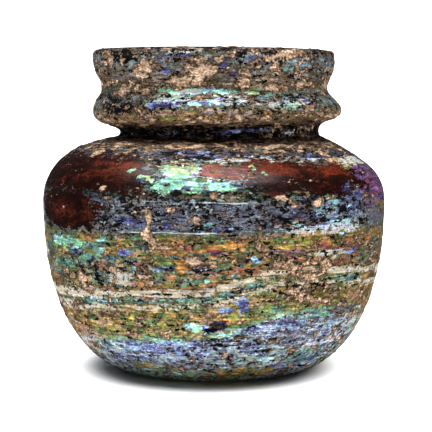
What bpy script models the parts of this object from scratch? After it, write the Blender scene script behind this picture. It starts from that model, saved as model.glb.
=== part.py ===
"""Free-blown glass jar: squat round body, narrow neck, rolled collar and flared mouth.

Metres, +Z up. The origin is on the jar's axis in the plane it stands on.
The jar is one piece of glass. Its outline is a chain of bends between named stations, the
inner face follows the outline at the wall's thickness, and the section is spun round the axis.
Small hand-made unevenness is then added, the same inside and out, so the wall keeps its thickness.
"""
import math

import bmesh
import bpy
from mathutils import Vector
from mathutils.geometry import interpolate_bezier

# Radii of the outer face, at the stations of the outline from the foot to the mouth
FOOT_RADIUS = 0.0243
BELLY_RADIUS = 0.0459
NECK_RADIUS = 0.0267
COLLAR_RADIUS = 0.0332
THROAT_RADIUS = 0.0303
RIM_RADIUS = 0.0324

# Heights, each counted from the station below it
BELLY_HEIGHT = 0.0446
SHOULDER_HEIGHT = 0.0178
NECK_RISE = 0.0011
COLLAR_RISE = 0.0053
THROAT_RISE = 0.0063
RIM_RISE = 0.0068
LIP_RISE = 0.0031

# The shoulder falls away from the neck at this angle, past a small fillet
SHOULDER_FALL = math.radians(15)
NECK_FILLET = 0.0010

# The lip leans in by this much over the rim
LIP_LEAN = 0.0002

# How far each bend of the outline runs on straight before it turns, at its start and at its end,
# as shares of its own length
LOWER_BODY_SHARES = (0.14, 0.68)
SHOULDER_SHARES = (0.385, 0.455)
NECK_SHARES = (0.35, 0.40)
COLLAR_UNDER_SHARES = (0.38, 0.40)
COLLAR_OVER_SHARES = (0.48, 0.36)
THROAT_SHARES = (0.32, 0.36)
LIP_SHARES = (0.33, 0.33)

# Glass thickness at the mouth, round the body and in the floor
MOUTH_WALL = 0.0024
BODY_WALL = 0.0027
FLOOR_WALL = 0.0042
FLOOR_BLEND_HEIGHT = 0.0150

# The underside: a flat ring to stand on, round a floor that was pushed up a little
STANDING_RING_WIDTH = 0.0070
KICK_HEIGHT = 0.0016

# Unevenness left by the blowing iron and the jacks: the neck stands to one side of the axis,
# the mouth tips towards +X, the collar droops at -X, and the shoulder sags at +X
NECK_OFFSET = 0.0015
NECK_OFFSET_REACH = 0.0078
NECK_OFFSET_REACH_BELOW = 0.0026
MOUTH_TILT = 0.0003
COLLAR_DROOP = 0.0010
SHOULDER_SAG = 0.0012
SHOULDER_SAG_REACH = 0.0065
BELLY_OVAL = 0.0030
MOUTH_OVAL = 0.0040
MOUTH_OVAL_TURN = math.radians(30)

# Mesh fineness: facets round the jar, and along each bend from the kick to the lip
FACETS_ROUND = 56
KICK_FACETS = 4
LOWER_BODY_FACETS = 14
SHOULDER_FACETS = 9
NECK_FACETS = 3
COLLAR_UNDER_FACETS = 6
COLLAR_OVER_FACETS = 6
THROAT_FACETS = 5
RIM_FACETS = 2
LIP_FACETS = 4
SHARP_ANGLE = math.radians(50)
MERGE_DISTANCE = 0.00001

# Heights of the stations above the foot
SHOULDER_Z = BELLY_HEIGHT + SHOULDER_HEIGHT
NECK_Z = SHOULDER_Z + NECK_RISE
COLLAR_Z = NECK_Z + COLLAR_RISE
THROAT_Z = COLLAR_Z + THROAT_RISE
RIM_Z = THROAT_Z + RIM_RISE
LIP_Z = RIM_Z + LIP_RISE

UP = Vector((0.0, 1.0))
OUTWARD = Vector((1.0, 0.0))
UP_SHOULDER = Vector((-math.cos(SHOULDER_FALL), math.sin(SHOULDER_FALL)))


def smooth_step(value):
    """0 below 0, 1 above 1, and an even ramp between them."""
    share = min(1.0, max(0.0, value))
    return share * share * (3.0 - 2.0 * share)


def hump(distance, reach):
    """1 at no distance, falling smoothly to nothing past the reach."""
    return math.exp(-((distance / reach) ** 2))


def bend(start, start_way, end, end_way, shares, facets):
    """The points after start on a smooth bend that leaves start_way and arrives at end end_way."""
    leave, arrive = shares
    distance = (end - start).length
    points = interpolate_bezier(
        start,
        start + start_way * distance * leave,
        end - end_way * distance * arrive,
        end,
        facets + 1,
    )
    return [Vector((point.x, point.y)) for point in points[1:]]


def outer_outline():
    """Radius and height of the outer face, from the middle of the underside to the lip."""
    kick_radius = FOOT_RADIUS - STANDING_RING_WIDTH
    outline = []
    for facet in range(KICK_FACETS + 1):
        share = facet / KICK_FACETS
        lift = KICK_HEIGHT * (1.0 + math.cos(math.pi * share)) / 2.0
        outline.append(Vector((kick_radius * share, lift)))

    foot = Vector((FOOT_RADIUS, 0.0))
    belly = Vector((BELLY_RADIUS, BELLY_HEIGHT))
    shoulder = Vector((NECK_RADIUS + NECK_FILLET, SHOULDER_Z))
    neck = Vector((NECK_RADIUS, NECK_Z))
    collar = Vector((COLLAR_RADIUS, COLLAR_Z))
    throat = Vector((THROAT_RADIUS, THROAT_Z))
    rim = Vector((RIM_RADIUS, RIM_Z))
    lip = Vector((RIM_RADIUS - LIP_LEAN, LIP_Z - MOUTH_WALL / 2.0))

    outline.append(foot)
    outline += bend(foot, OUTWARD, belly, UP, LOWER_BODY_SHARES, LOWER_BODY_FACETS)
    outline += bend(belly, UP, shoulder, UP_SHOULDER, SHOULDER_SHARES, SHOULDER_FACETS)
    outline += bend(shoulder, UP_SHOULDER, neck, UP, NECK_SHARES, NECK_FACETS)
    outline += bend(neck, UP, collar, UP, COLLAR_UNDER_SHARES, COLLAR_UNDER_FACETS)
    outline += bend(collar, UP, throat, UP, COLLAR_OVER_SHARES, COLLAR_OVER_FACETS)
    outline += bend(throat, UP, rim, UP, THROAT_SHARES, THROAT_FACETS)
    outline += bend(rim, UP, lip, UP, LIP_SHARES, RIM_FACETS)
    return outline


def outward_normals(outline):
    """The outward normal at each point of the outline. Its two ends are square to their own faces."""
    normals = []
    last = len(outline) - 1
    for place in range(last + 1):
        along = outline[min(place + 1, last)] - outline[max(place - 1, 0)]
        normals.append(Vector((along.y, -along.x)).normalized())
    normals[0] = -UP
    normals[last] = OUTWARD.copy()
    return normals


def wall_at(height):
    """Thickness of the glass where the outer face is at this height."""
    low = FLOOR_WALL + (BODY_WALL - FLOOR_WALL) * smooth_step(height / FLOOR_BLEND_HEIGHT)
    to_mouth = smooth_step((height - BELLY_HEIGHT) / SHOULDER_HEIGHT)
    return low + (MOUTH_WALL - BODY_WALL) * to_mouth


def glass_section():
    """The closed half section of the glass: up the outer face, over the lip and down the inner face."""
    outline = outer_outline()
    normals = outward_normals(outline)
    section = list(outline)

    lip_radius = MOUTH_WALL / 2.0
    lip_centre = outline[-1] - OUTWARD * lip_radius
    for facet in range(1, LIP_FACETS + 1):
        turn = math.pi * facet / LIP_FACETS
        section.append(lip_centre + Vector((math.cos(turn), math.sin(turn))) * lip_radius)

    # The inner face needs half as many points as the outer one
    for place in range(len(outline) - 3, 0, -2):
        section.append(outline[place] - normals[place] * wall_at(outline[place].y))
    section.append(outline[0] - normals[0] * wall_at(outline[0].y))
    return section


def made_uneven(point):
    """Where the hand-made jar has the point that a perfect turned one would have here."""
    angle = math.atan2(point.y, point.x)
    radius = math.hypot(point.x, point.y)
    height = point.z
    above_belly = smooth_step((height - BELLY_HEIGHT) / SHOULDER_HEIGHT)
    off_floor = smooth_step(height / FLOOR_BLEND_HEIGHT)

    oval = BELLY_OVAL * off_floor * (1.0 - above_belly) * math.cos(2.0 * angle)
    oval += MOUTH_OVAL * above_belly * math.cos(2.0 * (angle + MOUTH_OVAL_TURN))
    stretched = radius * (1.0 + oval)

    reach = NECK_OFFSET_REACH if height > NECK_Z else NECK_OFFSET_REACH_BELOW
    aside = NECK_OFFSET * hump(height - NECK_Z, reach)

    under_collar = (NECK_Z + COLLAR_Z) / 2.0
    sag_middle = SHOULDER_Z - SHOULDER_SAG_REACH / 2.0
    drop = MOUTH_TILT * above_belly * point.x / BELLY_RADIUS
    drop -= COLLAR_DROOP * hump(height - under_collar, COLLAR_RISE) * math.cos(angle)
    drop += SHOULDER_SAG * hump(height - sag_middle, SHOULDER_SAG_REACH) * (1.0 + math.cos(angle)) / 2.0
    return Vector((
        stretched * math.cos(angle) + aside,
        stretched * math.sin(angle),
        height - drop,
    ))


def weathered_glass():
    """Dark glass under a dull, iridescent skin of decay."""
    material = bpy.data.materials.new("weathered_glass")
    material.use_nodes = True
    shader = material.node_tree.nodes["Principled BSDF"]
    shader.inputs["Base Color"].default_value = (0.13, 0.10, 0.07, 1.0)
    shader.inputs["Roughness"].default_value = 0.35
    shader.inputs["Metallic"].default_value = 0.2
    return material


def blow_jar():
    """The jar itself: its section spun once round the axis, then made uneven."""
    shape = bmesh.new()
    section = [shape.verts.new((point.x, 0.0, point.y)) for point in glass_section()]
    edges = [shape.edges.new(pair) for pair in zip(section, section[1:])]
    bmesh.ops.spin(
        shape,
        geom=section + edges,
        cent=(0.0, 0.0, 0.0),
        axis=(0.0, 0.0, 1.0),
        angle=2.0 * math.pi,
        steps=FACETS_ROUND,
        use_merge=True,
    )
    bmesh.ops.remove_doubles(shape, verts=shape.verts, dist=MERGE_DISTANCE)
    bmesh.ops.recalc_face_normals(shape, faces=shape.faces)
    for vertex in shape.verts:
        vertex.co = made_uneven(vertex.co)

    mesh = bpy.data.meshes.new("glass_jar")
    shape.to_mesh(mesh)
    shape.free()
    mesh.shade_smooth()
    mesh.set_sharp_from_angle(angle=SHARP_ANGLE)
    mesh.materials.append(weathered_glass())
    jar = bpy.data.objects.new("glass_jar", mesh)
    bpy.context.scene.collection.objects.link(jar)
    return jar


def main():
    for old in list(bpy.data.objects):
        bpy.data.objects.remove(old)
    blow_jar()


main()
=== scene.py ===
import math

import bmesh
import bpy
import numpy as np
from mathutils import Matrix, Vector, noise
from mathutils.geometry import interpolate_bezier


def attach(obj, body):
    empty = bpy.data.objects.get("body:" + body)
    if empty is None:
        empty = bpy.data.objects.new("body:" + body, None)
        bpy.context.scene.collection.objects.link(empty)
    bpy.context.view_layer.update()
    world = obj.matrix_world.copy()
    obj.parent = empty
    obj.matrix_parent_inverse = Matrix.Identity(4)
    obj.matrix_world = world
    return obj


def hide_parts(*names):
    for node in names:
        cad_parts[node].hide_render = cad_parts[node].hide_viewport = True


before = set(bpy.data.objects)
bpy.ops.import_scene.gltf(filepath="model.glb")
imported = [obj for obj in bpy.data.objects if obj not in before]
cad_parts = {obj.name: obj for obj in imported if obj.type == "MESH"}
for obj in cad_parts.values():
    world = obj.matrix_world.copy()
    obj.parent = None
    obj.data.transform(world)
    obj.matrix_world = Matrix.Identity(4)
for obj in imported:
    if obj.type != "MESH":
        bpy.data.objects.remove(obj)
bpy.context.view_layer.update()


# The jar itself: one gather of dark, purple-brown glass, blown to a squat round body, pinched in
# to a groove for a neck, and tooled above it to a rolled collar and a flared mouth. It was cracked
# off the blowing iron and fire-polished at the lip. Metres, from the foot up; the front is -Y.
FOOT_RADIUS = 0.0243
BELLY_RADIUS = 0.0459
NECK_RADIUS = 0.0267
COLLAR_RADIUS = 0.0332
THROAT_RADIUS = 0.0303
RIM_RADIUS = 0.0324
BELLY_Z = 0.0446
SHOULDER_Z = 0.0624
NECK_Z = 0.0635
COLLAR_Z = 0.0688
THROAT_Z = 0.0751
RIM_Z = 0.0819
LIP_Z = 0.0850
SHOULDER_FALL = math.radians(15)
NECK_FILLET = 0.0010
LIP_LEAN = 0.0002
MOUTH_WALL = 0.0024
BODY_WALL = 0.0027
FLOOR_WALL = 0.0042
FLOOR_BLEND_HEIGHT = 0.0150
STANDING_RING_WIDTH = 0.0070
KICK_HEIGHT = 0.0016
COLUMNS = 400
MERGE_DISTANCE = 0.00001
UP = Vector((0.0, 1.0))
OUTWARD = Vector((1.0, 0.0))


def smooth_step(value):
    """0 below 0, 1 above 1, and an even ramp between them."""
    share = np.clip(value, 0.0, 1.0)
    return share * share * (3.0 - 2.0 * share)


def bend(start, start_way, end, end_way, shares, facets):
    """The points after start on a smooth bend that leaves start_way and arrives at end end_way."""
    distance = (end - start).length
    points = interpolate_bezier(
        start,
        start + start_way * distance * shares[0],
        end - end_way * distance * shares[1],
        end,
        facets + 1,
    )
    return [Vector((point.x, point.y)) for point in points[1:]]


def outer_outline():
    """Radius and height of the outer face, from the middle of the underside to the lip."""
    outline = []
    kick_facets = 12
    for facet in range(kick_facets + 1):
        share = facet / kick_facets
        lift = KICK_HEIGHT * (1.0 + math.cos(math.pi * share)) / 2.0
        outline.append(Vector(((FOOT_RADIUS - STANDING_RING_WIDTH) * share, lift)))
    ring_facets = 5
    for facet in range(1, ring_facets + 1):
        outline.append(Vector((FOOT_RADIUS - STANDING_RING_WIDTH * (1 - facet / ring_facets), 0.0)))

    up_shoulder = Vector((-math.cos(SHOULDER_FALL), math.sin(SHOULDER_FALL)))
    foot = Vector((FOOT_RADIUS, 0.0))
    belly = Vector((BELLY_RADIUS, BELLY_Z))
    shoulder = Vector((NECK_RADIUS + NECK_FILLET, SHOULDER_Z))
    neck = Vector((NECK_RADIUS, NECK_Z))
    collar = Vector((COLLAR_RADIUS, COLLAR_Z))
    throat = Vector((THROAT_RADIUS, THROAT_Z))
    rim = Vector((RIM_RADIUS, RIM_Z))
    lip = Vector((RIM_RADIUS - LIP_LEAN, LIP_Z - MOUTH_WALL / 2.0))
    outline += bend(foot, OUTWARD, belly, UP, (0.14, 0.68), 80)
    outline += bend(belly, UP, shoulder, up_shoulder, (0.385, 0.455), 44)
    outline += bend(shoulder, up_shoulder, neck, UP, (0.35, 0.40), 4)
    outline += bend(neck, UP, collar, UP, (0.38, 0.40), 14)
    outline += bend(collar, UP, throat, UP, (0.48, 0.36), 12)
    outline += bend(throat, UP, rim, UP, (0.32, 0.36), 11)
    outline += bend(rim, UP, lip, UP, (0.33, 0.33), 4)
    return outline


def inner_outline(outline):
    """The inner face from the lip down to the floor: the outer one, moved in by the glass's thickness."""
    points = []
    last = len(outline) - 1
    for place in range(last - 3, 0, -4):
        along = outline[min(place + 1, last)] - outline[place - 1]
        inward = Vector((-along.y, along.x)).normalized()
        height = outline[place].y
        wall = FLOOR_WALL + (BODY_WALL - FLOOR_WALL) * smooth_step(height / FLOOR_BLEND_HEIGHT)
        wall += (MOUTH_WALL - BODY_WALL) * smooth_step((height - BELLY_Z) / (SHOULDER_Z - BELLY_Z))
        points.append(outline[place] + inward * float(wall))
    points.append(outline[0] + UP * FLOOR_WALL)
    return points


outer = outer_outline()
lip_radius = MOUTH_WALL / 2.0
lip_centre = outer[-1] - OUTWARD * lip_radius
lip_facets = 8
lip_turns = [math.pi * facet / lip_facets for facet in range(1, lip_facets + 1)]
lip_round = [lip_centre + Vector((math.cos(turn), math.sin(turn))) * lip_radius for turn in lip_turns]
section = outer + lip_round + inner_outline(outer)

shape = bmesh.new()
along_layer = shape.verts.layers.float.new("along")
inside_layer = shape.verts.layers.float.new("inside")
line = []
travelled = 0.0
for place, point in enumerate(section):
    if place > 0:
        travelled += (point - section[place - 1]).length
    vertex = shape.verts.new((point.x, 0.0, point.y))
    vertex[along_layer] = travelled
    vertex[inside_layer] = 1.0 if place > len(outer) + lip_facets // 2 else 0.0
    line.append(vertex)
edges = [shape.edges.new(pair) for pair in zip(line, line[1:])]
bmesh.ops.spin(
    shape,
    geom=line + edges,
    cent=(0.0, 0.0, 0.0),
    axis=(0.0, 0.0, 1.0),
    angle=2.0 * math.pi,
    steps=COLUMNS,
    use_merge=True,
)
bmesh.ops.remove_doubles(shape, verts=shape.verts, dist=MERGE_DISTANCE)
bmesh.ops.recalc_face_normals(shape, faces=shape.faces)
jar_mesh = bpy.data.meshes.new("jar")
shape.to_mesh(jar_mesh)
shape.free()
jar_mesh.shade_smooth()


def read_points(kind, width):
    """A value of every point of the jar's mesh, as a numpy array."""
    source = jar_mesh.vertices if kind in ("co", "normal") else jar_mesh.attributes[kind].data
    key = kind if kind in ("co", "normal") else "value"
    values = np.zeros(len(jar_mesh.vertices) * width, np.float32)
    source.foreach_get(key, values)
    return values.reshape(-1, width).astype(float) if width > 1 else values.astype(float)


turned = read_points("co", 3)
along = read_points("along", 1)
inside = read_points("inside", 1) > 0.5
angle = np.arctan2(turned[:, 0], -turned[:, 1])
radius = np.hypot(turned[:, 0], turned[:, 1])
height = turned[:, 2]

# Where the hands left it uneven: the neck stands a little to the right, the collar droops at
# the left, and the shoulder sags at the right.
NECK_OFFSET = 0.0015
NECK_OFFSET_REACH = 0.0078
NECK_OFFSET_REACH_BELOW = 0.0026
MOUTH_TILT = 0.0003
COLLAR_DROOP = 0.0010
SHOULDER_SAG = 0.0012
SHOULDER_SAG_REACH = 0.0065
BELLY_OVAL = 0.0030
MOUTH_OVAL = 0.0040
MOUTH_OVAL_TURN = math.radians(30)


def hump(distance, reach):
    """1 at no distance, falling smoothly to nothing past the reach."""
    return np.exp(-((distance / reach) ** 2))


def made_uneven(points):
    """Where the hand-made jar has the points that a perfect turned one would have here."""
    turn = np.arctan2(points[:, 1], points[:, 0])
    high = points[:, 2]
    above_belly = smooth_step((high - BELLY_Z) / (SHOULDER_Z - BELLY_Z))
    off_floor = smooth_step(high / FLOOR_BLEND_HEIGHT)
    oval = BELLY_OVAL * off_floor * (1.0 - above_belly) * np.cos(2.0 * turn)
    oval += MOUTH_OVAL * above_belly * np.cos(2.0 * (turn + MOUTH_OVAL_TURN))
    reach = np.where(high > NECK_Z, NECK_OFFSET_REACH, NECK_OFFSET_REACH_BELOW)
    aside = NECK_OFFSET * hump(high - NECK_Z, reach)
    drop = MOUTH_TILT * above_belly * points[:, 0] / BELLY_RADIUS
    drop -= COLLAR_DROOP * hump(high - (NECK_Z + COLLAR_Z) / 2.0, COLLAR_Z - NECK_Z) * np.cos(turn)
    sag = hump(high - SHOULDER_Z + SHOULDER_SAG_REACH / 2.0, SHOULDER_SAG_REACH)
    drop += SHOULDER_SAG * sag * (1.0 + np.cos(turn)) / 2.0
    moved = points.copy()
    moved[:, 0] = points[:, 0] * (1.0 + oval) + aside
    moved[:, 1] = points[:, 1] * (1.0 + oval)
    moved[:, 2] = high - drop
    return moved


# The weathering, as broad areas on the surface. Buried glass decays in thin layers that shine in
# the colours of their thickness, follow the blown bands and flake off, and soil clings to them.
# Angles are in degrees from the front, positive to the right; heights and lengths are in mm.
degrees = np.degrees(angle)
level = height * 1000.0
widened = radius + (BELLY_RADIUS - radius) * smooth_step((radius - 0.012) / 0.018) * (height < BELLY_Z)
around = np.stack([widened * np.cos(angle), widened * np.sin(angle), along], axis=1)


def roughly(size, stretch, octaves, seed):
    """Noise of about -1 to 1 over the jar, in spots of this size in mm, drawn out along the bands."""
    scale = np.array([1.0, 1.0, stretch]) * 1000.0 / size
    places = around * scale + seed
    return np.array([noise.fractal(Vector(place), 0.8, 2.1, octaves) for place in places])


def ranked(values):
    """Each value's rank from 0 to 1, so that a share of the surface is a threshold."""
    return np.argsort(np.argsort(values)) / len(values)


astray_sideways = 2.4 * roughly(4.0, 1.0, 4, 41.0)
astray_upwards = 0.7 * roughly(4.0, 1.0, 4, 43.0)


def spot(middle, high, half_angle, half_high):
    """1 at the middle of a patch, 0 at its edge, which wanders a little, and less outside it."""
    sideways = np.abs((degrees + astray_sideways - middle + 180.0) % 360.0 - 180.0) / half_angle
    upwards = np.abs(level + astray_upwards - high) / half_high
    return 1.0 - (sideways ** 3 + upwards ** 3) ** (1.0 / 3.0)


# Below the belly the layers don't run level: they climb by some mm from the left to the right
CLIMB_ANGLES = (-180, -110, -67, -50, -31, -4, 8, 14, 22, 45, 80, 180)
CLIMB_HEIGHTS = (-1.0, -3.0, -2.8, -1.9, -0.9, 0.0, 2.5, 4.1, 5.6, 4.2, 2.5, -1.0)
climb = np.interp(degrees, CLIMB_ANGLES, CLIMB_HEIGHTS) * (1.0 - smooth_step((level - 28.0) / 14.0))
waver = 0.45 * roughly(22.0, 1.0, 3, 3.0)
band_level = level - climb + waver

# The bands, from the foot to the lip: height, the film's place in the row of colours, how much it
# varies, how dull it is, its brightness, the shares of dark gaps, grey veil, soil and pale chalky
# layer, and how cool those last two are in colour. The brightness and gaps also carry painted
# light: the bands near the foot are brightened as painted fill light, and the groove under the
# collar is made near black as painted shade.
BANDS = (
    # The lowest bands are brightened: painted fill light from the table under the down-facing base
    (0.0, 0.44, 0.6, 0.6, 1.60, 0.34, 0.20, 0.14, 0.14, 0.3),
    (2.5, 0.30, 0.7, 0.6, 2.10, 0.28, 0.35, 0.18, 0.24, 0.6),
    (5.5, 0.20, 0.7, 0.6, 2.20, 0.24, 0.50, 0.18, 0.32, 0.7),
    (7.6, 0.14, 0.7, 0.5, 2.20, 0.22, 0.65, 0.14, 0.38, 0.9),
    (12.0, 0.13, 0.6, 0.3, 2.20, 0.18, 0.70, 0.12, 0.42, 0.9),
    (13.6, 0.40, 0.6, 0.3, 1.70, 0.16, 0.30, 0.16, 0.22, 0.5),
    (16.0, 0.47, 0.5, 0.3, 1.55, 0.16, 0.16, 0.18, 0.14, 0.3),
    (20.4, 0.49, 0.5, 0.3, 1.45, 0.16, 0.14, 0.16, 0.12, 0.2),
    (21.4, 0.50, 0.5, 0.4, 1.20, 0.18, 0.10, 0.10, 0.62, 0.2),
    (22.4, 0.50, 0.5, 0.4, 1.20, 0.18, 0.10, 0.10, 0.66, 0.2),
    (23.0, 0.26, 0.6, 0.2, 1.10, 0.22, 0.20, 0.14, 0.12, 0.5),
    (23.9, 0.28, 0.6, 0.2, 1.10, 0.22, 0.20, 0.14, 0.12, 0.5),
    (24.5, 0.56, 0.5, 0.4, 1.00, 0.16, 0.20, 0.08, 0.84, 0.2),
    (25.8, 0.56, 0.5, 0.4, 1.00, 0.16, 0.20, 0.10, 0.80, 0.2),
    (26.6, 0.50, 1.0, 0.2, 1.10, 0.24, 0.20, 0.30, 0.14, 0.2),
    (30.0, 0.42, 1.3, 0.2, 1.10, 0.26, 0.25, 0.22, 0.14, 0.4),
    (33.0, 0.42, 1.3, 0.2, 1.10, 0.24, 0.20, 0.18, 0.14, 0.4),
    (35.0, 0.52, 1.0, 0.1, 1.20, 0.18, 0.12, 0.20, 0.14, 0.2),
    (37.0, 0.56, 0.9, 0.1, 1.30, 0.14, 0.10, 0.20, 0.16, 0.2),
    (38.4, 0.47, 0.7, 0.3, 1.05, 0.20, 0.15, 0.10, 0.12, 0.3),
    (39.8, 0.44, 0.6, 0.5, 0.80, 0.24, 0.20, 0.06, 0.14, 0.5),
    (40.5, 0.02, 0.5, 0.7, 0.60, 0.40, 0.60, 0.05, 0.10, 0.7),
    (44.0, 0.03, 0.5, 0.7, 0.55, 0.44, 0.65, 0.05, 0.08, 0.7),
    (47.2, 0.04, 0.5, 0.7, 0.60, 0.40, 0.60, 0.05, 0.10, 0.7),
    (47.9, 0.36, 0.9, 0.2, 0.32, 0.44, 0.08, 0.02, 0.02, 0.6),
    (50.2, 0.38, 0.9, 0.2, 0.32, 0.42, 0.08, 0.02, 0.02, 0.6),
    (52.0, 0.32, 0.6, 0.1, 0.80, 0.20, 0.12, 0.03, 0.03, 0.6),
    (56.5, 0.42, 0.6, 0.4, 0.60, 0.28, 0.12, 0.06, 0.05, 0.3),
    (58.0, 0.06, 0.6, 0.4, 0.50, 0.42, 0.25, 0.12, 0.20, 0.4),
    (59.4, 0.04, 0.5, 0.5, 0.45, 0.46, 0.25, 0.22, 0.16, 0.4),
    (60.6, 0.62, 0.3, 0.7, 0.70, 0.28, 0.20, 0.48, 0.08, 0.1),
    # Painted shade: the groove under the overhanging collar is made near black, dim and full of gaps
    (62.0, 0.66, 0.2, 0.7, 0.45, 0.42, 0.10, 0.30, 0.02, 0.1),
    (63.8, 0.95, 0.2, 0.5, 0.22, 0.72, 0.02, 0.02, 0.00, 0.4),
    (65.4, 0.64, 0.2, 0.6, 0.40, 0.55, 0.05, 0.26, 0.00, 0.1),
    (66.6, 0.60, 0.3, 0.7, 1.20, 0.20, 0.20, 0.46, 0.08, 0.1),
    (68.4, 0.58, 0.4, 0.7, 1.40, 0.18, 0.30, 0.38, 0.14, 0.1),
    (69.6, 0.45, 0.6, 0.7, 1.00, 0.32, 0.30, 0.24, 0.16, 0.3),
    (71.5, 0.20, 0.6, 0.5, 0.90, 0.32, 0.35, 0.16, 0.20, 0.5),
    (73.2, 0.44, 0.5, 0.7, 0.65, 0.38, 0.30, 0.16, 0.12, 0.4),
    (74.4, 0.30, 0.3, 0.6, 1.00, 0.12, 0.30, 0.16, 0.20, 0.5),
    (75.6, 0.60, 0.4, 0.8, 1.10, 0.22, 0.20, 0.54, 0.10, 0.1),
    (77.4, 0.55, 0.5, 0.9, 1.15, 0.26, 0.40, 0.48, 0.10, 0.3),
    (80.0, 0.30, 0.6, 0.7, 1.10, 0.30, 0.45, 0.40, 0.14, 0.4),
    (82.5, 0.14, 0.6, 0.6, 1.05, 0.34, 0.45, 0.38, 0.16, 0.4),
    (84.3, 0.60, 0.4, 0.8, 0.60, 0.50, 0.30, 0.16, 0.06, 0.3),
)
band_table = np.array(BANDS)
order, variety, dull, shine, gap_share, veil_share, soil_share, chalk_share, cool = (
    np.interp(band_level, band_table[:, 0], band_table[:, column]) for column in range(1, 10)
)

# Every area here and below starts with the angle and height of its middle, its half angle and its
# half height. First broad drifts within the bands: the place in the row of colours that they tend
# to, and how much brighter and clearer they are than the rest of the band.
DRIFTS = (
    (28.0, 34.0, 44.0, 8.0, 0.60, 0.95),
    (-55.0, 33.0, 26.0, 6.0, 0.36, 0.85),
    (-66.0, 14.0, 24.0, 12.0, 0.60, 1.00),
    (34.0, 24.0, 16.0, 3.4, 0.50, 0.60),
    (72.0, 22.0, 26.0, 16.0, 0.62, 0.90),
    (45.0, 17.5, 28.0, 3.6, 0.14, 0.60),
    (40.0, 12.0, 30.0, 2.6, 0.08, 0.75),
    (38.0, 4.0, 32.0, 6.0, 0.12, 1.30),
    (-12.0, 1.5, 34.0, 4.0, 0.36, 1.35),
    (40.0, 45.0, 24.0, 5.4, 0.15, 1.90),
    (-48.0, 71.4, 22.0, 3.0, 0.44, 0.60),
    (-10.0, 67.4, 20.0, 2.6, 0.60, 1.40),
    (36.0, 71.0, 22.0, 3.0, 0.24, 1.35),
)
for middle, high, half_angle, half_high, colour_place, brighter in DRIFTS:
    pull = smooth_step(1.6 * spot(middle, high, half_angle, half_high))
    order += (colour_place - order) * 0.8 * pull
    shine *= 1.0 + (brighter - 1.0) * pull
    dull -= 0.5 * (brighter - 1.0) * pull

# Where more flakes are gone and dark gaps crowd together, and where fewer are gone
GAP_SPOTS = (
    (78.0, 48.0, 22.0, 12.0, -0.35),
    (78.0, 24.0, 22.0, 20.0, -0.20),
    (-80.0, 28.0, 20.0, 24.0, -0.20),
    (-0.5, 16.0, 5.0, 1.9, 0.55),
    (4.0, 12.6, 9.0, 1.3, 0.50),
    (-46.0, 82.8, 11.0, 1.6, 0.50),
    (-52.0, 70.6, 13.0, 2.2, 0.40),
    (-9.0, 58.6, 13.0, 1.0, 0.30),
    (-26.0, 48.8, 9.0, 1.1, 0.25),
    (26.0, 49.4, 12.0, 0.9, 0.25),
    (31.0, 25.6, 12.0, 2.4, 0.26),
    (-48.0, 30.4, 10.0, 2.6, 0.16),
    (-4.0, 31.0, 5.0, 1.3, 0.30),
    (17.0, 36.0, 4.0, 3.0, 0.14),
)
for middle, high, half_angle, half_high, amount in GAP_SPOTS:
    gap_share = gap_share + amount * smooth_step(1.5 * spot(middle, high, half_angle, half_high) + 0.25)

# Smooth bare glass: both sides of the shoulder, and less of it behind
glass = np.maximum.reduce([
    spot(-52.0, 53.6, 36.0, 4.9),
    spot(-57.0, 44.6, 18.0, 5.4),
    spot(28.0, 53.8, 22.0, 4.2),
    spot(50.0, 52.8, 26.0, 4.8),
    spot(150.0, 52.0, 26.0, 4.5),
    spot(-140.0, 47.0, 30.0, 5.0),
    spot(-100.0, 52.0, 14.0, 3.5),
    spot(105.0, 33.0, 12.0, 3.0),
])

# Where the bare glass glows rusty rather than near black
GLOWS = (
    (-36.0, 55.4, 24.0, 4.6, 0.42),
    (-29.0, 55.0, 9.0, 3.0, 0.72),
    (-55.0, 44.5, 20.0, 5.5, 0.34),
    (20.0, 55.6, 15.0, 3.6, 0.80),
    (44.0, 55.6, 17.0, 4.2, 0.66),
)
glow = np.zeros(len(level))
for middle, high, half_angle, half_high, warmth in GLOWS:
    glow = np.maximum(glow, warmth * smooth_step(spot(middle, high, half_angle, half_high)))
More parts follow.
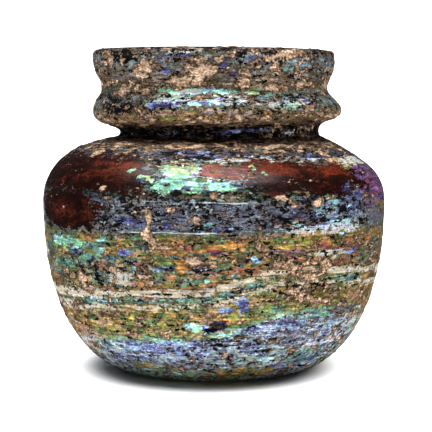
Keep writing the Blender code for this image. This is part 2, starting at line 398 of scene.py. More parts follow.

# Accents: single flakes and patches of one clear colour, with its place in the row of colours and
# its brightness. Some of them are painted highlights where the softbox shines on the shoulder,
# the collar and the throat, tinted by the film.
ACCENTS = (
    # Painted highlight of the softbox on the shoulder's film, in the film's colours
    (-12.0, 54.0, 6.0, 2.8, 1.33, 0.72),
    (-6.0, 51.2, 12.0, 1.3, 1.26, 1.40),
    (-3.2, 55.1, 2.6, 1.9, 0.78, 0.42),
    (1.2, 54.8, 2.8, 2.2, 0.76, 0.36),
    (5.6, 54.8, 2.8, 2.4, 0.79, 0.30),
    (10.4, 55.0, 2.8, 2.2, 0.76, 0.26),
    # Two small painted green glints left of it
    (-29.0, 55.0, 2.0, 0.5, 0.36, 1.00),
    (-23.6, 53.2, 1.8, 0.6, 0.36, 1.00),
    (14.6, 55.9, 1.7, 0.7, 0.35, 0.90),
    (16.4, 54.6, 1.4, 0.7, 0.35, 0.70),
    (-55.0, 36.0, 8.0, 1.5, 0.30, 1.70),
    (-62.0, 36.6, 3.0, 0.8, 0.16, 1.50),
    (-36.0, 37.4, 3.4, 0.7, 0.27, 1.50),
    (-44.0, 38.4, 6.0, 0.6, 0.55, 0.90),
    (-20.0, 38.8, 6.0, 0.6, 0.42, 0.90),
    (4.0, 37.0, 7.0, 1.1, 0.64, 1.40),
    (26.0, 37.2, 8.0, 1.1, 0.45, 1.50),
    (-16.0, 33.2, 5.0, 1.3, 0.38, 1.20),
    (-56.0, 30.4, 7.0, 1.3, 0.30, 0.60),
    (-43.0, 32.4, 4.0, 1.4, 0.33, 1.00),
    (-38.0, 34.6, 2.6, 0.8, 0.22, 1.50),
    (-50.0, 33.4, 2.4, 0.9, 0.11, 1.20),
    (-10.0, 32.4, 2.6, 1.8, 0.60, 1.10),
    (-18.0, 30.4, 4.0, 0.5, 0.14, 1.50),
    (-28.0, 34.6, 2.4, 0.8, 0.08, 1.20),
    (-26.0, 30.8, 2.0, 0.7, 0.20, 1.60),
    (14.0, 33.7, 2.0, 0.9, 0.16, 1.60),
    (6.0, 29.6, 1.5, 0.7, 0.18, 1.30),
    (-1.5, 28.6, 1.6, 0.6, 0.28, 1.50),
    (-10.0, 27.6, 2.0, 0.6, 0.30, 1.50),
    (52.0, 34.2, 3.0, 0.8, 0.07, 1.30),
    (44.0, 38.6, 1.6, 0.5, 0.18, 1.50),
    (-2.0, 31.6, 3.6, 0.6, 0.98, 0.40),
    (-0.5, 35.2, 2.4, 0.5, 0.98, 0.60),
    (-42.0, 22.2, 9.0, 0.5, 0.21, 1.80),
    (-22.0, 23.2, 3.5, 0.5, 0.80, 1.10),
    (-21.0, 24.8, 7.0, 0.5, 0.66, 1.90),
    (-5.0, 25.8, 2.2, 0.5, 0.76, 0.50),
    (-7.0, 16.6, 2.4, 1.0, 0.25, 2.20),
    (-2.5, 16.8, 2.0, 1.2, 0.08, 2.00),
    (2.5, 17.0, 3.6, 1.0, 0.97, 0.25),
    (-1.0, 12.8, 3.6, 0.7, 0.97, 0.30),
    (9.0, 12.0, 5.0, 0.7, 0.97, 0.30),
    (1.0, 14.8, 4.0, 0.5, 0.16, 2.20),
    (9.0, 23.2, 2.8, 1.6, 0.08, 1.80),
    (10.6, 20.8, 2.4, 0.8, 0.12, 1.80),
    (3.6, 21.0, 2.0, 0.5, 0.10, 1.60),
    (6.5, 18.9, 3.0, 0.7, 0.42, 1.90),
    (-12.0, 19.5, 1.3, 0.7, 0.60, 1.80),
    (-8.0, 21.4, 1.0, 0.6, 0.24, 1.80),
    (-24.0, 16.2, 1.3, 0.6, 0.98, 0.40),
    (16.0, 15.8, 4.0, 0.7, 0.12, 1.50),
    (27.0, 16.8, 8.0, 0.8, 0.16, 1.10),
    (40.0, 18.2, 7.0, 0.7, 0.22, 0.90),
    (33.0, 24.0, 9.0, 1.2, 0.48, 0.60),
    (-27.0, 10.4, 12.0, 1.2, 0.13, 1.90),
    (42.0, 6.8, 8.0, 1.6, 0.22, 0.60),
    (14.0, 3.2, 14.0, 1.2, 0.50, 1.20),
    (-28.0, 4.6, 10.0, 1.1, 0.46, 1.10),
    (-26.0, 42.4, 4.0, 1.1, 0.06, 0.70),
    (-14.0, 41.4, 4.0, 0.5, 0.10, 0.80),
    (-1.0, 41.8, 1.4, 0.7, 0.22, 1.20),
    (3.0, 40.9, 2.6, 0.7, 0.10, 1.20),
    (36.0, 41.4, 20.0, 0.6, 0.19, 1.50),
    (42.0, 46.6, 3.0, 0.8, 0.22, 1.00),
    (27.0, 43.6, 3.0, 0.9, 0.97, 0.40),
    (20.0, 42.4, 2.6, 0.8, 0.84, 0.40),
    (76.0, 51.0, 19.0, 7.0, 0.91, 1.30),
    (74.0, 44.6, 9.0, 1.6, 0.44, 0.90),
    (80.0, 49.0, 14.0, 1.0, 0.96, 0.70),
    (53.0, 48.8, 3.4, 1.2, 0.08, 0.80),
    (48.0, 50.2, 2.6, 1.0, 0.97, 0.25),
    (40.0, 59.0, 3.0, 0.8, 0.14, 1.00),
    (56.0, 56.6, 3.4, 1.3, 0.48, 0.80),
    (-8.0, 59.0, 6.0, 0.5, 0.07, 0.80),
    (-16.0, 58.0, 4.0, 0.5, 0.97, 0.40),
    (2.0, 58.4, 5.0, 0.4, 0.09, 0.60),
    (4.0, 64.2, 24.0, 0.35, 0.05, 0.90),
    (-26.0, 70.4, 6.0, 0.5, 0.07, 1.20),
    (-18.0, 70.9, 3.0, 0.4, 0.13, 1.40),
    (2.0, 71.8, 2.4, 0.6, 0.09, 1.20),
    # Pale bluish-white: a painted highlight on the collar
    (-6.0, 71.0, 9.0, 0.5, 0.19, 1.10),
    (22.0, 68.4, 3.5, 0.5, 0.64, 1.60),
    (-20.0, 67.6, 4.5, 0.6, 0.44, 1.40),
    (44.0, 71.4, 2.4, 0.9, 0.04, 0.90),
    (50.0, 71.0, 2.0, 0.9, 0.06, 0.80),
    # White-cyan painted highlights on the top of the collar
    (-9.0, 71.2, 3.0, 0.9, 0.24, 1.80),
    (-0.5, 70.9, 2.6, 0.7, 0.23, 1.60),
    # Painted highlight streak in the throat, recoloured and brightened below
    (-4.0, 74.1, 30.0, 0.6, 0.24, 2.00),
    (5.0, 80.0, 1.6, 1.0, 0.05, 0.80),
    (9.0, 78.4, 2.0, 0.6, 0.98, 0.50),
    (44.0, 80.8, 3.6, 0.7, 0.16, 0.80),
    (34.0, 79.4, 4.0, 0.5, 0.22, 0.80),
    (-22.0, 79.4, 3.0, 0.6, 0.02, 0.80),
    (-14.0, 82.8, 6.0, 0.4, 0.08, 0.80),
)
accent = np.full(len(level), -1.0)
accent_order = np.zeros(len(level))
accent_shine = np.zeros(len(level))
for middle, high, half_angle, half_high, colour_place, bright in ACCENTS:
    here = spot(middle, high, half_angle, half_high)
    accent_order = np.where(here > accent, colour_place, accent_order)
    accent_shine = np.where(here > accent, bright, accent_shine)
    accent = np.maximum(accent, here)

# The largest of them, the painted highlight on the shoulder, runs from yellow-green at its top to
# cyan at its foot, and the painted highlight streak in the throat from green by pale cyan to green
# again, brightest a little left of the front
accent_order += np.where(accent_order == 1.33, 0.035 * (level - 54.0), 0.0)
in_throat_highlight = (accent_order == 0.24) & (level > 73.0)
throat_colours = np.interp(degrees, (-28.0, -12.0, 2.0, 8.0, 22.0), (0.31, 0.26, 0.23, 0.31, 0.35))
throat_highlight_brightness = np.interp(degrees, (-28.0, -14.0, 0.0, 10.0, 24.0), (1.3, 2.4, 1.9, 1.1, 0.9))
accent_order = np.where(in_throat_highlight, throat_colours, accent_order)
accent_shine = np.where(in_throat_highlight, throat_highlight_brightness, accent_shine)

# Soil: lumps in drifts along the bands, with a few runs down across them
SOIL_SPOTS = (
    (-20.4, 45.0, 2.2, 1.2, 0.80),
    (-21.0, 43.2, 1.8, 1.6, 0.80),
    (-19.6, 41.4, 1.8, 1.6, 0.85),
    (-20.4, 39.4, 2.0, 1.6, 0.85),
    (-19.4, 37.6, 2.0, 1.5, 0.80),
    (-15.0, 36.4, 5.0, 1.0, 0.55),
    (-37.0, 50.0, 2.2, 1.0, 0.75),
    (-34.0, 48.2, 2.2, 1.1, 0.80),
    (-24.0, 45.6, 1.9, 0.9, 0.75),
    (-12.0, 45.2, 3.4, 0.8, 0.65),
    (-5.4, 43.0, 1.7, 1.4, 0.75),
    (-3.8, 42.0, 2.2, 0.7, 0.70),
    (1.0, 48.6, 2.4, 1.0, 0.65),
    (21.0, 48.6, 2.2, 0.9, 0.65),
    (29.0, 49.0, 2.0, 1.1, 0.65),
    (33.0, 46.6, 2.2, 1.1, 0.65),
    (40.0, 44.4, 2.0, 1.0, 0.65),
    (38.0, 48.0, 2.4, 0.9, 0.60),
    (25.0, 46.2, 2.0, 1.0, 0.50),
    (-3.0, 32.8, 5.0, 1.6, 0.62),
    (29.0, 29.5, 11.0, 5.5, 0.34),
    (32.0, 23.5, 14.0, 3.0, 0.30),
    (-50.0, 27.2, 6.0, 1.4, 0.45),
    (50.0, 58.6, 5.0, 1.5, 0.50),
    (14.0, 39.0, 1.8, 3.5, 0.40),
    (-4.0, 80.4, 12.0, 2.4, 0.44),
    (34.0, 83.2, 12.0, 1.2, 0.52),
    (-4.0, 76.8, 24.0, 1.0, 0.24),
    (-45.0, 74.0, 15.0, 1.5, 0.78),
    (34.0, 74.6, 12.0, 1.1, 0.72),
    (34.0, 60.7, 18.0, 1.1, 0.36),
    (-14.0, 60.9, 10.0, 0.9, 0.34),
    (-43.0, 58.8, 16.0, 0.9, 0.46),
    (-62.0, 70.5, 5.0, 1.6, 0.50),
    (-5.0, 72.6, 4.0, 0.8, 0.70),
    (-14.0, 4.4, 3.5, 0.9, 0.60),
    (6.0, 8.6, 2.8, 1.2, 0.60),
    (-15.0, 14.6, 5.0, 1.2, 0.35),
    (62.0, 13.0, 22.0, 12.0, 0.20),
    (-66.0, 14.0, 18.0, 12.0, 0.14),
    (34.0, 11.0, 20.0, 2.4, 0.14),
)
lumps = ranked(0.6 * roughly(5.0, 1.9, 5, 11.0) + 0.4 * roughly(2.0, 1.5, 3, 17.0))
off_glass = 1.0 - 0.95 * smooth_step(glass * 4.0 + 0.3)
off_accents = 1.0 - 0.6 * smooth_step(accent * 4.0)
soil_share = soil_share * off_glass * off_accents
for middle, high, half_angle, half_high, amount in SOIL_SPOTS:
    soil_share = soil_share + amount * smooth_step(spot(middle, high, half_angle, half_high) * 1.5 + 0.25)

# Cream and grey streaks of chalky layer that lie beside the bands; four of them are painted light
CHALK_STREAKS = (
    (36.0, 40.4, 19.0, 1.1, 0.90),
    (40.0, 34.0, 9.0, 1.0, 0.80),
    (-31.5, 28.3, 5.0, 2.2, 0.85),
    (44.0, 10.2, 13.0, 0.8, 0.80),
    (-27.0, 8.0, 12.0, 0.3, 0.80),
    # Partly painted reflection: a grey sheen down the left side
    (-78.0, 38.0, 5.0, 10.0, 0.40),
    # Painted highlight: the white of the throat's highlight streak
    (-12.0, 74.2, 8.0, 0.45, 1.10),
    (20.0, 57.8, 30.0, 0.6, 0.75),
    (40.0, 63.6, 8.0, 0.9, 0.50),
    # Painted glint on the lip
    (-5.0, 84.2, 1.8, 0.8, 1.00),
    (-8.0, 71.6, 8.0, 0.4, 0.60),
    (4.0, 71.2, 4.0, 0.5, 0.70),
    (32.0, 71.4, 16.0, 1.8, 0.36),
    (12.0, 76.2, 16.0, 0.4, 0.50),
    (-14.0, 83.6, 8.0, 0.6, 0.50),
    (36.0, 81.0, 12.0, 1.6, 0.24),
    # Painted highlight: a pale streak at the right of the shoulder
    (64.0, 57.4, 13.0, 1.4, 0.70),
    (60.0, 17.0, 14.0, 8.0, 0.18),
    (-60.0, 16.0, 14.0, 8.0, 0.18),
)
for middle, high, half_angle, half_high, amount in CHALK_STREAKS:
    chalk_share = chalk_share + amount * smooth_step(spot(middle, high, half_angle, half_high) * 1.5 + 0.25)

# Inside, a dull brown bloom and dust; the underside is rubbed and crusted
order = np.where(inside, 0.64, order)
variety = np.where(inside, 0.4, variety)
dull = np.where(inside, 0.7, dull)
cool = np.where(inside, 0.2, cool)
shine = np.where(inside, 0.45, shine)
veil_share = np.where(inside, 0.5, veil_share)
chalk_share = np.where(inside, 0.06, chalk_share)
soil_share = np.where(inside, 0.30 + 0.25 * (level < 9.0), soil_share)
glass = np.where(inside, -1.0, glass)
accent = np.where(inside, -1.0, accent)
soil = lumps - 1.0 + np.clip(soil_share, 0.0, 1.0)


def keep_on_mesh(name, values):
    """Stores a value for every point, for the material to read."""
    if values.ndim == 2:
        layer = jar_mesh.attributes.new(name, "FLOAT_VECTOR", "POINT")
        layer.data.foreach_set("vector", values.astype(np.float32).ravel())
    else:
        layer = jar_mesh.attributes.new(name, "FLOAT", "POINT")
        layer.data.foreach_set("value", values.astype(np.float32))


keep_on_mesh("around", around)
keep_on_mesh("band", np.where(inside, -9.0, band_level))
keep_on_mesh("line_end", smooth_step((np.abs(degrees + 9.0) - 19.0) / 8.0))
keep_on_mesh("order", order)
keep_on_mesh("variety", variety)
keep_on_mesh("dull", dull)
keep_on_mesh("cool", cool)
keep_on_mesh("shine", shine)
keep_on_mesh("gap", gap_share)
keep_on_mesh("veil", veil_share)
keep_on_mesh("chalk", chalk_share)
keep_on_mesh("glass", glass)
keep_on_mesh("glow", glow)
keep_on_mesh("soil", soil)
keep_on_mesh("accent", accent)
keep_on_mesh("accent_order", accent_order)
keep_on_mesh("accent_shine", accent_shine)

# The relief of it: soil stands proud, bare glass lies a little lower where layers came away, and
# the blowing left faint rings. Under the foot is the rough scar where the pontil rod broke off.
SOIL_HEIGHT = 0.00022
BARE_DEPTH = 0.00010
RING_DEPTH = 0.00005
SCAR_RADIUS = 0.0068
SCAR_HEIGHT = 0.00055
points = made_uneven(turned)
jar_mesh.vertices.foreach_set("co", points.astype(np.float32).ravel())
jar_mesh.update()
outward = read_points("normal", 3)
rise = SOIL_HEIGHT * smooth_step(soil / 0.20 + 0.3) * (0.7 + 0.6 * roughly(1.7, 1.0, 2, 23.0))
rise -= BARE_DEPTH * smooth_step(glass * 4.0)
rise += RING_DEPTH * roughly(26.0, 14.0, 3, 31.0)
on_ring = (level < 0.4) & (radius > FOOT_RADIUS - STANDING_RING_WIDTH - 0.0004) & ~inside
rise = np.where(on_ring, 0.0, rise)
under = ~inside & (level < 2.0) & (radius < FOOT_RADIUS - STANDING_RING_WIDTH)
scar = SCAR_HEIGHT * hump(radius - SCAR_RADIUS, 0.0012) * (0.7 + 0.8 * roughly(3.0, 1.0, 3, 37.0))
rise = np.where(under, scar, rise)
points += outward * rise[:, None]
points[:, 2] = np.maximum(points[:, 2], 0.0)
jar_mesh.vertices.foreach_set("co", points.astype(np.float32).ravel())
jar_mesh.update()

jar = bpy.data.objects.new("jar", jar_mesh)
bpy.context.scene.collection.objects.link(jar)


# The jar's surface: bare glass, the iridescent film, chalky layers and soil, one over the other.
# Broad areas come from the mesh, and noise in the material breaks their edges into flakes.
class Reading:
    """A socket of a material. Sums and products with it add Math nodes."""

    def __init__(self, tree, socket):
        self.tree = tree
        self.socket = socket

    def node(self, kind, settings=None, inputs=None, output=0):
        """One output of a new node, whose settings are made before its sockets are filled."""
        made = self.tree.nodes.new(kind)
        for name, value in (settings or {}).items():
            if name == "stops":
                while len(made.color_ramp.elements) < len(value):
                    made.color_ramp.elements.new(1.0)
                for element, (position, colour) in zip(made.color_ramp.elements, value):
                    element.position = position
                    element.color = colour
            else:
                setattr(made, name, value)
        for name, value in (inputs or {}).items():
            if isinstance(value, Reading):
                self.tree.links.new(value.socket, made.inputs[name])
            else:
                made.inputs[name].default_value = value
        return Reading(self.tree, made.outputs[output])

    def math(self, operation, *values):
        return self.node("ShaderNodeMath", {"operation": operation}, dict(enumerate(values)))

    def __add__(self, other):
        return self.math("ADD", self, other)

    def __sub__(self, other):
        return self.math("SUBTRACT", self, other)

    def __rsub__(self, other):
        return self.math("SUBTRACT", other, self)

    def __mul__(self, other):
        return self.math("MULTIPLY", self, other)

    def __rpow__(self, other):
        return self.math("POWER", other, self)

    __radd__ = __add__
    __rmul__ = __mul__

    def over(self, low, high):
        """0 below low, 1 above high, smooth between."""
        inputs = {"Value": self, "From Min": low, "From Max": high}
        return self.node("ShaderNodeMapRange", {"interpolation_type": "SMOOTHSTEP"}, inputs)

    def mixed(self, under, top):
        """The colour under, covered by the colour top by as much as this value says."""
        inputs = {"Factor": self, 6: under, 7: top}
        return self.node("ShaderNodeMix", {"data_type": "RGBA"}, inputs, 2)


def seen(red, green, blue):
    """A colour as an eye reads it, 0 to 255, as the light values that a material takes."""
    parts = [value / 255.0 for value in (red, green, blue)]
    return tuple(((p + 0.055) / 1.055) ** 2.4 if p > 0.04045 else p / 12.92 for p in parts) + (1.0,)


skin = bpy.data.materials.new("weathered_glass")
skin.use_nodes = True
shader = skin.node_tree.nodes["Principled BSDF"]
surface = Reading(skin.node_tree, shader.outputs[0])


def kept(name):
    """A value stored on the mesh."""
    return surface.node("ShaderNodeAttribute", {"attribute_name": name}, output=2)


wrapped = surface.node("ShaderNodeAttribute", {"attribute_name": "around"}, output=1)


def drawn_out(size, stretch, moved=None):
    """The place on the jar, so that a pattern of unit size comes out this many mm long."""
    unit = 1000.0 / size
    inputs = {0: moved or wrapped, 1: (unit, unit, unit * stretch)}
    return surface.node("ShaderNodeVectorMath", {"operation": "MULTIPLY"}, inputs)


def cloudy(size, stretch, detail=4.0, roughness=0.6, distortion=0.0):
    """Noise of about -0.3 to 0.3 in spots of this size in mm."""
    inputs = {"Vector": drawn_out(size, stretch), "Scale": 1.0, "Detail": detail}
    inputs.update({"Roughness": roughness, "Distortion": distortion})
    return surface.node("ShaderNodeTexNoise", None, inputs) - 0.5


jitter = surface.node(
    "ShaderNodeTexNoise", None, {"Vector": drawn_out(1.3, 1.0), "Scale": 1.0, "Detail": 5.0}, 1)
jitter = surface.node("ShaderNodeVectorMath", {"operation": "SUBTRACT"}, {0: jitter, 1: (0.5, 0.5, 0.5)})
jitter = surface.node("ShaderNodeVectorMath", {"operation": "SCALE"}, {0: jitter, "Scale": 0.0015})
ragged = surface.node("ShaderNodeVectorMath", {"operation": "ADD"}, {0: wrapped, 1: jitter})


def flakes(size, stretch):
    """One number from -0.5 to 0.5 for each ragged flake of about this size in mm."""
    inputs = {"Vector": drawn_out(size, stretch, ragged), "Scale": 1.0}
    colour = surface.node("ShaderNodeTexVoronoi", None, inputs, 1)
    return surface.node("ShaderNodeSeparateColor", None, {0: colour}) - 0.5


wide_flakes = flakes(6.0, 3.0)
flake_bits = flakes(2.4, 2.2)
crumbs = flakes(0.8, 1.6)
streaks = cloudy(10.0, 5.0, 5.0)
mottle = cloudy(3.0, 2.0, 7.0, 0.72)
tone = cloudy(1.8, 1.9, 7.0, 0.78, 0.4)
grain = cloudy(0.55, 1.2, 3.0)
holes = cloudy(2.6, 2.4, 6.0, 0.7, 0.5)
fine_lines = cloudy(9.0, 24.0, 3.0, 0.5)
thin_lines = cloudy(5.0, 9.0, 4.0, 0.6, 0.4)

# The row of colours that the film runs through as it thickens, ending where it began
FILM_COLOURS = [
    (0.00, seen(66, 56, 92)),
    (0.09, seen(92, 96, 172)),
    (0.18, seen(128, 152, 188)),
    (0.26, seen(144, 204, 194)),
    (0.34, seen(108, 160, 112)),
    (0.42, seen(120, 130, 64)),
    (0.52, seen(158, 134, 68)),
    (0.62, seen(188, 134, 76)),
    (0.72, seen(168, 98, 58)),
    (0.82, seen(130, 60, 48)),
    (0.92, seen(118, 76, 122)),
    (1.00, seen(66, 56, 92)),
]


def film_colour(thickness):
    """The film's colour at a thickness of which every whole number is one run through the row."""
    place_in_row = thickness.math("FRACT", thickness)
    return surface.node("ShaderNodeValToRGB", {"stops": FILM_COLOURS}, {0: place_in_row})


def dimmed(colour, amount):
    """The colour times a brightness."""
    return surface.node("ShaderNodeVectorMath", {"operation": "SCALE"}, {0: colour, "Scale": amount})


accent_edge = kept("accent") + 2.2 * mottle + 0.7 * flake_bits + 1.2 * grain
accent_on = accent_edge.over(0.06, 0.12)
accent_rim = accent_edge.over(-0.05, 0.02) * accent_edge.over(0.14, 0.07)
plain = 1.0 - accent_on
cool = kept("cool")
order_here = kept("order") * plain + kept("accent_order") * accent_on
shine_here = kept("shine") * plain + kept("accent_shine") * accent_on
spread = kept("variety") * plain + 0.34 * accent_on
thickness = 0.24 * wide_flakes + 0.26 * flake_bits + 0.16 * crumbs + 0.9 * streaks + 1.2 * mottle
film = film_colour(order_here + spread * thickness + 2.0)

# Much of the film has gone dull: brownish in some flakes, slate grey in others
slate = (cool + 0.9 * flake_bits + 2.0 * streaks).over(0.2, 0.8)
dull_tone = slate.mixed(seen(124, 100, 78), seen(104, 106, 114))
dulled = (kept("dull") + 0.5 * wide_flakes + 1.2 * mottle).over(0.15, 0.75) * plain
film = (0.85 * dulled).mixed(film, dull_tone)
rough_light = 4.5 * tone + 3.0 * grain + 1.0 * crumbs + 6.0 * thin_lines
flake_light = (0.5 + 0.5 * plain) * (1.5 * flake_bits + 1.0 * wide_flakes + 2.5 * mottle)
film = dimmed(film, shine_here * 2.0 ** (rough_light + flake_light))

# A greyish veil of thin scratched layer
veil_field = kept("veil") - 0.62 + 2.4 * fine_lines + 1.5 * thin_lines + 1.2 * grain + 0.6 * mottle
veil_on = veil_field.over(-0.05, 0.15) * (1.0 - 0.7 * accent_on)
veil_tone = (cool + flake_bits).over(0.1, 0.7).mixed(seen(178, 160, 138), seen(150, 154, 174))
film = (veil_on * 0.6).mixed(film, dimmed(veil_tone, 2.0 ** (3.0 * grain + 4.0 * tone)))

# Dark gaps where flakes are gone, each with a pale lifted rim, and cracks round the other flakes
gap_field = kept("gap") - 0.45 - 3.2 * holes - 0.4 * crumbs - 0.3 * flake_bits
gap_field = gap_field - 0.8 * grain - 0.35 * accent_on
rim = gap_field.over(-0.17, -0.10) * gap_field.over(0.0, -0.03) * (0.25 + 0.75 * kept("veil"))
film = rim.mixed(film, dimmed(veil_tone, 2.0 ** (3.0 * tone + 3.0 * thin_lines)))
gap = gap_field.over(-0.02, 0.05)
film = gap.mixed(film, seen(4, 3, 3))
same_flakes = {"Vector": drawn_out(2.4, 2.2, ragged), "Scale": 1.0}
lace = surface.node("ShaderNodeTexVoronoi", {"feature": "DISTANCE_TO_EDGE"}, same_flakes)
film = (0.7 * lace.over(0.06, 0.01) * plain).mixed(film, seen(20, 16, 16))
film = (0.6 * accent_rim).mixed(film, seen(16, 10, 12))

# Single bright crumbs of layer
specks = (crumbs + 0.8 * grain + 1.2 * mottle).over(0.43, 0.49) * plain * kept("gap").over(0.55, 0.40)
film = specks.mixed(film, cool.over(0.2, 0.7).mixed(seen(208, 190, 160), seen(176, 196, 198)))

glass_edge = kept("glass") + 1.3 * mottle + 0.3 * flake_bits + 0.6 * grain
bare = glass_edge.over(0.0, 0.07) * plain
warmth = kept("glow") + 1.2 * streaks + 1.6 * mottle
glass_tone = warmth.over(0.0, 0.9).mixed(seen(24, 7, 5), seen(92, 34, 16))
colour = bare.mixed(film, dimmed(glass_tone, 2.0 ** (5.0 * grain + 4.0 * tone + 3.0 * mottle)))

# Pale chalky layer in bands and streaks, with two thin broken lines of it round the belly
chalk_field = kept("chalk") - 0.5 + 1.6 * fine_lines + 1.2 * mottle + 1.0 * grain - 0.5 * gap
band = kept("band") + 0.5 * mottle
for line_height, half_width in ((47.4, 0.17), (40.0, 0.20)):
    from_line = band - line_height
    nearness = 0.55 - (1.0 / half_width) * from_line.math("ABSOLUTE", from_line) - 2.0 * kept("line_end")
    chalk_field = chalk_field.math("MAXIMUM", chalk_field, nearness + 5.0 * streaks + 3.0 * tone)
chalk_on = chalk_field.over(-0.02, 0.10) * (1.0 - bare)
chalk_tone = (cool + 1.5 * mottle).over(0.1, 0.8).mixed(seen(178, 167, 142), seen(170, 182, 194))
colour = chalk_on.mixed(colour, dimmed(chalk_tone, 2.0 ** (2.5 * grain + 2.0 * tone + 3.0 * thin_lines)))

# Soil, dark in its pits and at its edge, palest on its tops: the dark edge and a near-black ring
# just outside each lump are painted shade, and the pale tops are partly painted light
soil_field = kept("soil") + 1.3 * tone + 0.7 * grain + 0.12 * crumbs + 0.9 * mottle - 0.02
# Painted shade: a near-black ring round each soil lump
colour = (0.8 * soil_field.over(-0.10, -0.02) * (1.0 - bare)).mixed(colour, seen(18, 13, 11))
soil_on = soil_field.over(0.0, 0.03)
soil_tone = soil_field.over(0.0, 0.20).mixed(seen(50, 36, 26), seen(134, 107, 82))
# Paler tops of the soil: partly its colour, partly painted light
pale_soil_and_lit_tops = (soil_field + 0.35 * flake_bits + 1.5 * mottle).over(0.20, 0.60)
soil_tone = pale_soil_and_lit_tops.mixed(soil_tone, seen(174, 147, 124))
soil_light = 6.0 * grain + 4.5 * tone + 0.6 * crumbs + 3.0 * thin_lines
colour = soil_on.mixed(colour, dimmed(soil_tone, 2.0 ** soil_light))
colour = dimmed(colour, 0.94)

bare_only = bare * (1.0 - soil_on)
shiny = (1.0 - soil_on) * (1.0 - chalk_on) * (1.0 - gap * (1.0 - bare))
surface.tree.links.new(colour.socket, shader.inputs["Base Color"])
surface.tree.links.new((0.5 * shiny * (1.0 - bare_only)).socket, shader.inputs["Metallic"])
roughness = 0.88 - 0.56 * shiny - 0.06 * bare_only - 0.10 * accent_on * shiny
surface.tree.links.new(roughness.socket, shader.inputs["Roughness"])
gloss = 0.5 * shiny * (1.0 - 0.95 * bare_only) * (0.25 + 0.75 * shine_here.over(0.35, 0.80))
surface.tree.links.new(gloss.socket, shader.inputs["Coat Weight"])
shader.inputs["Coat Roughness"].default_value = 0.14
shader.inputs["Specular IOR Level"].default_value = 0.2
swell = 0.30 * soil_field.over(-0.02, 0.25) + 0.06 * flake_bits + 0.05 * crumbs + 0.20 * grain - 0.08 * gap
swell = swell * (1.0 - 0.85 * bare_only) * (1.0 - 0.5 * accent_on)
relief = surface.node("ShaderNodeBump", None, {"Strength": 0.8, "Distance": 0.001, "Height": swell})
surface.tree.links.new(relief.socket, shader.inputs["Normal"])
jar_mesh.materials.append(skin)

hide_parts("glass_jar")
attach(jar, "root")


# The table: a sheet of plain white paper that lies under the jar and sweeps up behind it. Near
# the jar it only reflects the lamps, and away from it it glows with painted light, so that it
# reads as pure white; where the glow starts also sets the outline of the jar's shadow.
floor_shape = bmesh.new()
FLOOR_HALF = 2.0
SWEEP_START = 0.7
SWEEP_RADIUS = 0.5
SWEEP_STEPS = 12
WALL_TOP = 2.2
GLOW_START = 0.034
GLOW_FULL = 0.050
GLOW = 1.2
floor_line = [floor_shape.verts.new((0.0, -FLOOR_HALF, 0.0)), floor_shape.verts.new((0.0, SWEEP_START, 0.0))]
for step in range(1, SWEEP_STEPS + 1):
    turn = math.pi / 2.0 * step / SWEEP_STEPS
    y = SWEEP_START + SWEEP_RADIUS * math.sin(turn)
    floor_line.append(floor_shape.verts.new((0.0, y, SWEEP_RADIUS * (1.0 - math.cos(turn)))))
floor_line.append(floor_shape.verts.new((0.0, SWEEP_START + SWEEP_RADIUS, WALL_TOP)))
floor_edges = [floor_shape.edges.new(pair) for pair in zip(floor_line, floor_line[1:])]
bmesh.ops.translate(floor_shape, verts=floor_line, vec=(-FLOOR_HALF, 0.0, 0.0))
pulled = bmesh.ops.extrude_edge_only(floor_shape, edges=floor_edges)
far_side = [part for part in pulled["geom"] if isinstance(part, bmesh.types.BMVert)]
bmesh.ops.translate(floor_shape, verts=far_side, vec=(2.0 * FLOOR_HALF, 0.0, 0.0))
bmesh.ops.recalc_face_normals(floor_shape, faces=floor_shape.faces)
floor_mesh = bpy.data.meshes.new("sweep")
floor_shape.to_mesh(floor_mesh)
floor_shape.free()
floor_mesh.shade_smooth()
paper = bpy.data.materials.new("white_paper")
paper.use_nodes = True
paper_shader = paper.node_tree.nodes["Principled BSDF"]
paper_shader.inputs["Base Color"].default_value = (0.72, 0.72, 0.72, 1.0)
paper_shader.inputs["Roughness"].default_value = 0.9
paper_shader.inputs["Specular IOR Level"].default_value = 0.0
paper_shader.inputs["Emission Strength"].default_value = 1.0
table = Reading(paper.node_tree, paper_shader.outputs[0])
# Painted light: the glow starts in an oval round the jar, a little narrower across than deep and centred 2
# mm to its left, which shapes the edge of the jar's shadow on the paper.
on_paper = table.node("ShaderNodeTexCoord", output=3)
oval = {0: on_paper, 1: (1.25, 1.0, 1.0), 2: (0.0025, 0.0, 0.0)}
on_oval = table.node("ShaderNodeVectorMath", {"operation": "MULTIPLY_ADD"}, oval)
far = table.node("ShaderNodeVectorMath", {"operation": "LENGTH"}, {0: on_oval}, 1)
white = far.over(GLOW_START, GLOW_FULL).mixed((0.0, 0.0, 0.0, 1.0), (GLOW, GLOW, GLOW, 1.0))
table.tree.links.new(white.socket, paper_shader.inputs["Emission Color"])
floor_mesh.materials.append(paper)
sweep = bpy.data.objects.new("sweep", floor_mesh)
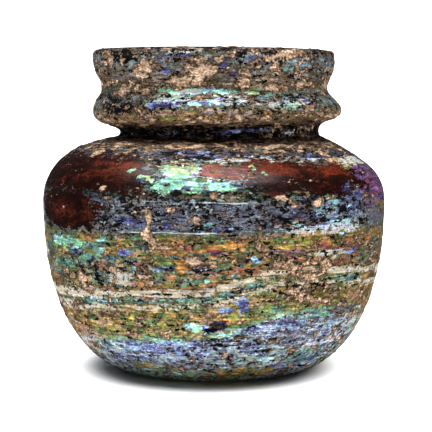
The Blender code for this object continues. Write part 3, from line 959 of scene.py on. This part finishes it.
bpy.context.scene.collection.objects.link(sweep)
sweep.visible_glossy = False


# The light: a wide softbox almost overhead, a little in front and to the left, which gives the
# highlights, a farther panel above it that fills in, and a dim white room.
def softbox(name, turn, rise, distance, width, depth, power):
    """A panel of light that faces the jar's shoulder from this many degrees round and up."""
    light = bpy.data.lights.new(name, "AREA")
    light.shape = "RECTANGLE"
    light.size = width
    light.size_y = depth
    light.energy = power
    lamp = bpy.data.objects.new(name, light)
    way = Vector((
        math.sin(math.radians(turn)) * math.cos(math.radians(rise)),
        -math.cos(math.radians(turn)) * math.cos(math.radians(rise)),
        math.sin(math.radians(rise)),
    ))
    lamp.location = Vector((0.0, 0.0, 0.05)) + way * distance
    lamp.rotation_euler = way.to_track_quat("Z", "Y").to_euler()
    bpy.context.scene.collection.objects.link(lamp)
    return lamp


softbox("key_light", -20.0, 78.0, 0.75, 0.90, 0.40, 9.5)
overhead = softbox("overhead_light", 50.0, 80.0, 1.5, 0.6, 0.6, 18.0)
overhead.visible_glossy = False

room = bpy.data.worlds.new("room")
room.use_nodes = True
room.node_tree.nodes["Background"].inputs["Color"].default_value = (1.0, 1.0, 1.0, 1.0)
room.node_tree.nodes["Background"].inputs["Strength"].default_value = 0.04
bpy.context.scene.world = room
bpy.context.scene.view_settings.view_transform = "Standard"


# The camera: a long lens at the height of the throat, tipped down by about five degrees, so that
# the lip is seen nearly edge-on and the foot's front edge just curves.
CAMERA_DISTANCE = 0.3793
CAMERA_HEIGHT = 0.0723
CAMERA_ASIDE = 0.0006
CAMERA_DOWN = math.radians(4.818)
camera_data = bpy.data.cameras.new("camera")
camera_data.sensor_width = 36.0
camera_data.lens = 116.67
camera_data.clip_start = 0.01
camera = bpy.data.objects.new("camera", camera_data)
camera.location = (CAMERA_ASIDE, -CAMERA_DISTANCE, CAMERA_HEIGHT)
camera.rotation_euler = (math.pi / 2.0 - CAMERA_DOWN, 0.0, 0.0)
bpy.context.scene.collection.objects.link(camera)
bpy.context.scene.camera = camera
